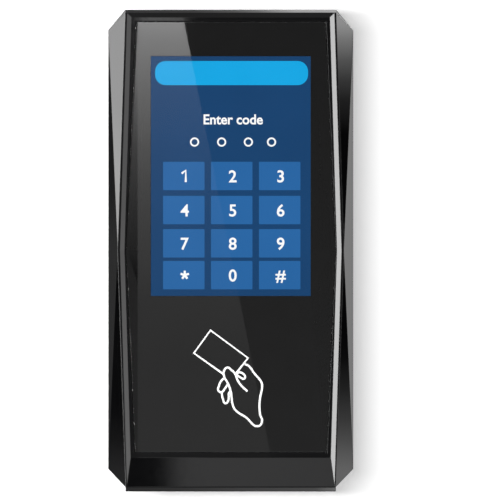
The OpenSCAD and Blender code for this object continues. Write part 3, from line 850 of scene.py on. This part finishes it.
def glass_glare():
    """The window-like sheen down the left of the glass, and its fainter rim up to its edge."""
    corners = ((-28.5, -66), (12.9, -66), (-15.1, 74), (-28.5, 74))
    card_in_front("glass_glare", corners, 1.0, 0.0, "Z", [
        (-66, 0.225), (-34, 0.215), (-15, 0.245), (0, 0.33), (12, 0.41), (21, 0.5), (31, 0.65),
        (40, 0.87), (46, 1.0), (52, 1.17), (58, 1.38), (64, 1.6), (69, 1.95), (74, 2.0),
    ])
    rim = ((-31.8, 0), (-28.5, -10), (-28.5, 67), (-28.6, 67))
    card_in_front("glare_rim", rim, 1.0, 0.0, "Z", [
        (-10, 0.0), (0, 0.12), (12, 0.19), (21, 0.27), (31, 0.38), (40, 0.62), (46, 0.8), (52, 1.1),
        (74, 1.9),
    ])


def chin_glow():
    """Light on the sloping strip below the glass: dark at its left, grey at its right."""
    slope = math.tan(2 * math.atan2(CHIN_RUN, CHIN_DROP))
    corners = ((-36, -82), (36, -82), (36, -50), (-36, -50))
    card_in_front("chin_glow", corners, 1.0, slope, "X", [
        (-36, 0.0), (-24, 0.03), (-21, 0.14), (-17, 0.6), (-14, 0.85), (-3, 0.9), (36, 0.85),
    ])


def lip_glow():
    """Light on the flat lip below the sloping strip."""
    corners = ((-40, -76.5), (40, -76.5), (40, -71.8), (-40, -71.8))
    card_in_front("lip_glow", corners, 0.1, 0.0, "X", [
        (-40, 0.5), (-18, 0.7), (0, 1.15), (9, 1.3), (26, 1.6), (29, 2.5), (32, 3.2), (40, 3.3),
    ])


def crown_glow():
    """Light on the narrow fold along the top edge, from above and behind."""
    x, low, high = 50 * MM, Vector((0, 0.19, 0.20)), Vector((0, 0.27, 0.165))
    corners = [low - Vector((x, 0, 0)), low + Vector((x, 0, 0)), high + Vector((x, 0, 0)),
               high - Vector((x, 0, 0))]
    light_card("crown_glow", corners, "X", [
        (-50, 0.08), (-15, 0.12), (0, 0.22), (9, 0.38), (15, 0.62), (22, 0.88), (50, 1.08),
    ])


def facet_cards():
    """Light strips beside the body: they draw the folded sides in grey and black. Like the other
    cards, they are placed and graded for the photo's view."""
    side_card("left_outer", (-292, -32), 30, [
        (-120, 0.4), (-88, 0.29), (-76, 0.1), (-66, 0.02), (-14, 0.0), (2, 7.0), (38, 7.2),
        (60, 6.2), (110, 6.0),
    ])
    side_card("right_outer", (292, -32), 30, [
        (-120, 2.6), (-87, 2.4), (-81, 1.8), (-76, 1.25), (-69, 0.73), (-58, 0.25), (-47, 0.04),
        (-36, 0.0), (50, 0.0), (62, 0.24), (69, 0.69), (76, 1.6), (83, 3.25), (89, 5.3),
        (110, 5.5),
    ])
    side_card("left_middle", (-260, 97), 34, [(-120, 0.28), (0, 0.25), (25, 0.09), (110, 0.08)])
    side_card("right_middle", (260, 97), 34, [(-120, 2.0), (110, 2.2)])
    side_card("right_inner", (-225, -97), 52, [(-120, 12.2), (110, 11.6)])
    side_card("left_inner", (225, -97), 52, [(-120, 3.0), (-10, 2.2), (10, 1.9), (110, 1.9)])


def backdrop():
    """A white wall that the reader hangs on. Seen from behind it isn't there, and only the camera
    sees it, so the rear lights pass through it."""
    mat, tree, shader = new_material("pale_wall", Roughness=0.9, Specular_IOR_Level=0.0)
    grain = noise(tree, place(tree), 0.5, 3.0)
    whites = [(0.3, (0.84, 0.84, 0.84)), (0.7, (0.86, 0.86, 0.86))]
    tree.links.new(shade(tree, grain, whites), shader.inputs["Base Color"])
    shader.inputs["Emission Color"].default_value = (1, 1, 1, 1)
    shader.inputs["Emission Strength"].default_value = WALL_GLOW
    side = add(tree, "ShaderNodeNewGeometry")
    clear = add(tree, "ShaderNodeBsdfTransparent")
    mix = add(tree, "ShaderNodeMixShader")
    tree.links.new(side.outputs["Backfacing"], mix.inputs["Fac"])
    tree.links.new(shader.outputs["BSDF"], mix.inputs[1])
    tree.links.new(clear.outputs["BSDF"], mix.inputs[2])
    tree.links.new(mix.outputs["Shader"], tree.nodes["Material Output"].inputs["Surface"])
    y, s = CAD_BOX[1].y + WALL_GAP, WALL_HALF
    wall = quad("wall", [(-s, y, FLOOR_Z), (s, y, FLOOR_Z), (s, y, s), (-s, y, s)], mat)
    hide_from(wall, "diffuse", "glossy", "transmission", "volume_scatter", "shadow")


def floor():
    """A pale floor well below the reader."""
    mat, tree, shader = new_material("pale_floor", Roughness=0.8, Specular_IOR_Level=0.1)
    grain = noise(tree, place(tree), 0.3, 3.0)
    pales = [(0.3, (0.78, 0.78, 0.77)), (0.7, (0.82, 0.82, 0.81))]
    tree.links.new(shade(tree, grain, pales), shader.inputs["Base Color"])
    shader.inputs["Emission Color"].default_value = (1, 1, 1, 1)
    shader.inputs["Emission Strength"].default_value = FLOOR_GLOW
    z, s = FLOOR_Z, FLOOR_HALF
    ground = quad("floor", [(-s, -s, z), (s, -s, z), (s, s, z), (-s, s, z)], mat)
    hide_from(ground, "glossy", "diffuse")


def area_light(name, where, size, watts):
    """A square light that faces the origin."""
    lamp = bpy.data.lights.new(name, "AREA")
    lamp.size = size
    lamp.energy = watts
    obj = bpy.data.objects.new(name, lamp)
    obj.location = where
    obj.rotation_mode = "QUATERNION"
    obj.rotation_quaternion = (-Vector(where)).to_track_quat("-Z", "Y")
    SCENE.collection.objects.link(obj)
    return obj


def studio_world():
    """White behind everything. Reflections see a dim room: soft light ahead, behind, above and
    from the pale floor, and little beside."""
    world = bpy.data.worlds.new("studio")
    world.use_nodes = True
    SCENE.world = world
    tree = world.node_tree
    tree.nodes.clear()
    where = add(tree, "ShaderNodeTexCoord")
    parts = add(tree, "ShaderNodeSeparateXYZ")
    tree.links.new(where.outputs["Generated"], parts.inputs["Vector"])
    along = spread(tree, parts.outputs["Y"], 0, 1, -1, 1)
    upright = spread(tree, parts.outputs["Z"], 0, 1, -1, 1)
    gain = add(tree, "ShaderNodeMath", operation="MULTIPLY")
    gain.inputs[1].default_value = ROOM_GAIN
    tree.links.new(shade(tree, upright, greys(ROOM_HEIGHTS)), gain.inputs[0])
    ambient = add(tree, "ShaderNodeBackground")
    tree.links.new(shade(tree, along, greys(ROOM_DEPTHS)), ambient.inputs["Color"])
    tree.links.new(gain.outputs["Value"], ambient.inputs["Strength"])
    white = add(tree, "ShaderNodeBackground")
    white.inputs["Color"].default_value = (1, 1, 1, 1)
    path = add(tree, "ShaderNodeLightPath")
    mix = add(tree, "ShaderNodeMixShader")
    out = add(tree, "ShaderNodeOutputWorld")
    tree.links.new(path.outputs["Is Camera Ray"], mix.inputs["Fac"])
    tree.links.new(ambient.outputs["Background"], mix.inputs[1])
    tree.links.new(white.outputs["Background"], mix.inputs[2])
    tree.links.new(mix.outputs["Shader"], out.inputs["Surface"])


def camera():
    """The photograph's view: straight ahead, with no shift."""
    data = bpy.data.cameras.new("camera")
    data.sensor_width = SENSOR
    data.lens = data.sensor_width * VIEW_DISTANCE / VIEW_WIDTH
    data.clip_start = 0.05
    data.clip_end = 10
    obj = bpy.data.objects.new("camera", data)
    obj.location = EYE
    obj.rotation_euler = (math.pi / 2, 0, 0)
    SCENE.collection.objects.link(obj)
    SCENE.camera = obj


def stage():
    """Camera, room, wall, floor and lights."""
    SCENE.view_settings.view_transform = "Standard"
    camera()
    studio_world()
    backdrop()
    floor()
    key = area_light("key_light", (-0.38, -1.1, 0.03), 0.75, 11.5)
    key.data.shape = "RECTANGLE"
    key.data.size_y = 0.15
    hide_from(key, "glossy")
    area_light("rear_key", (0.8, 1.2, 0.9), 0.8, 24)
    area_light("rear_fill", (-1.0, 0.9, 0.3), 0.8, 8)
    glass_glare()
    chin_glow()
    lip_glow()
    crown_glow()
    facet_cards()


finishes = {make.__name__: make() for make in FINISHES}
finish_cad_nodes(finishes)
for node_name in FLAT_NODES:
    shade_flat(node_name)
screen_picture()
card_symbol()
spring_coil(finishes["screw_steel"])
stage()
